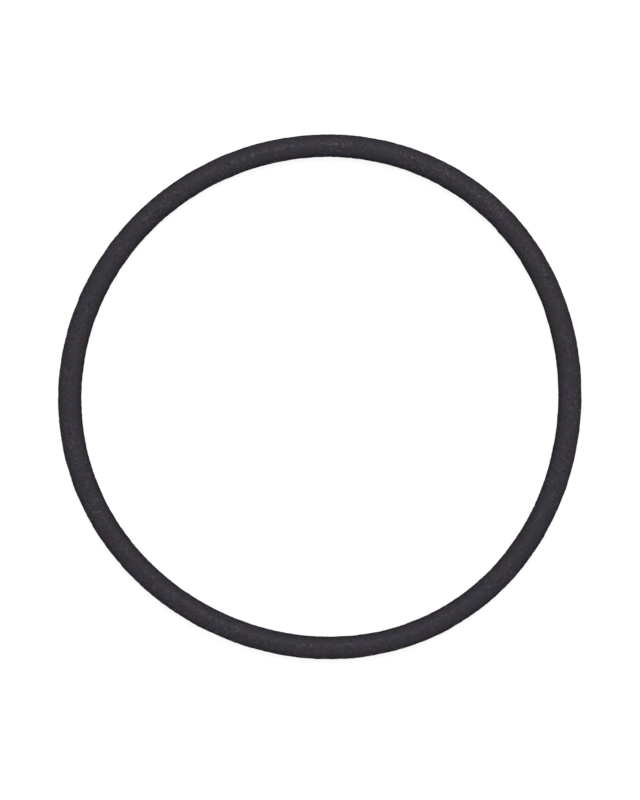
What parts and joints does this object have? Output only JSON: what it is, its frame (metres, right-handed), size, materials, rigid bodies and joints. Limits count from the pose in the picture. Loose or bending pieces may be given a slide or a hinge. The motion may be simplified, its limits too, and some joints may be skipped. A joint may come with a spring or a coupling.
{
  "type": "rubber o-ring",
  "caption": "Round rubber sealing ring of circular section, moulded whole, with a trimmed parting line round its inner and outer equators.",
  "frame": {"origin": "middle of the ring's hole, on the plane of its parting line, half the section above the surface it lies on", "axes": "+Z along the ring's own axis, upwards as it lies flat; X and Y lie in the plane of the parting line and are interchangeable"},
  "size_m": [0.0414, 0.0414, 0.0018],
  "materials": {
    "rubber": "matte"
  },
  "bodies": {
    "root": {"o_ring": "rubber"}
  },
  "joints": []
}
